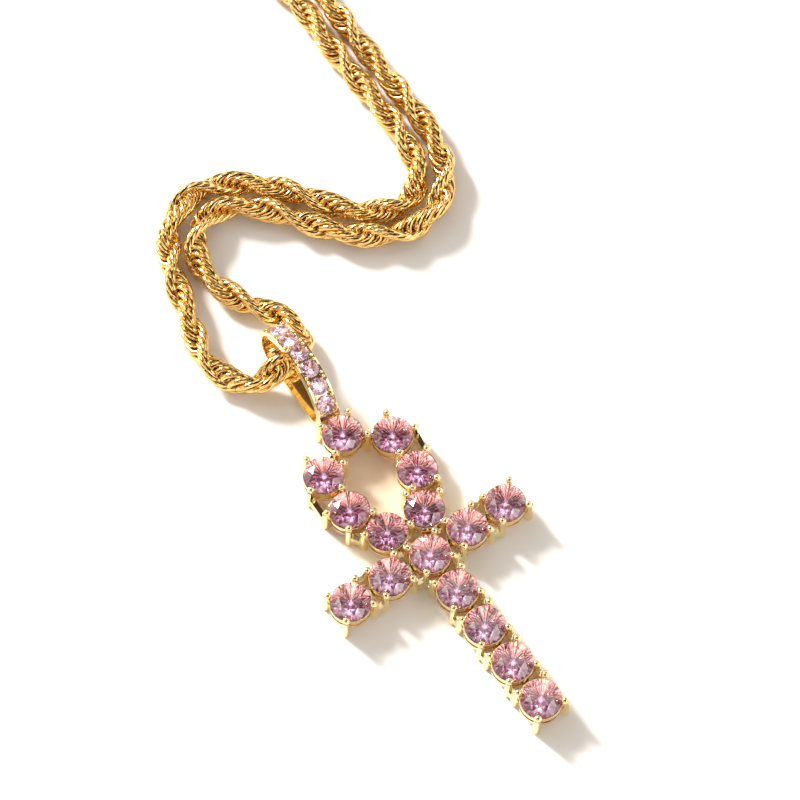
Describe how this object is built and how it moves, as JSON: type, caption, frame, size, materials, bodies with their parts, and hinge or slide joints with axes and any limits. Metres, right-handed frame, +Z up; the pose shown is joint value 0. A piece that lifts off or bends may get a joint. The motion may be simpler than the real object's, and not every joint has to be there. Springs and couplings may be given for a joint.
{
  "type": "ankh pendant necklace",
  "caption": "Ankh-shaped pendant of round stones in ball-tipped prong baskets, on a stone-set teardrop bail and a gold rope chain.",
  "frame": {"origin": "middle of the laid-out necklace's footprint, on the surface that it lies on", "axes": "+Z up, +Y from the ankh's stem towards the clasp, +X towards the ankh's right arm"},
  "size_m": [0.096, 0.2112, 0.0074],
  "materials": {
    "yellow_gold": "polished pale yellow gold plate",
    "rope_gold": "polished deep yellow gold plate",
    "pink_stone": "facetted pink stone",
    "pale_pink_stone": "facetted pale pink stone"
  },
  "bodies": {
    "root": {"ankh_frame": "yellow_gold", "loop_stone_1": "pink_stone", "loop_stone_2": "pink_stone", "loop_stone_3": "pink_stone", "loop_stone_4": "pink_stone", "loop_stone_5": "pink_stone", "loop_stone_6": "pink_stone", "loop_stone_7": "pink_stone", "crossing_stone": "pink_stone", "arm_stone_1": "pink_stone", "arm_stone_2": "pink_stone", "arm_stone_3": "pink_stone", "arm_stone_4": "pink_stone", "stem_stone_1": "pink_stone", "stem_stone_2": "pink_stone", "stem_stone_3": "pink_stone", "stem_stone_4": "pink_stone", "bail": "yellow_gold", "bail_stone_1": "pale_pink_stone", "bail_stone_2": "pale_pink_stone", "bail_stone_3": "pale_pink_stone", "bail_stone_4": "pale_pink_stone", "bail_stone_5": "pale_pink_stone", "bail_stone_6": "pale_pink_stone", "chain_left": "rope_gold", "chain_right": "rope_gold", "clasp": "rope_gold"}
  },
  "joints": []
}
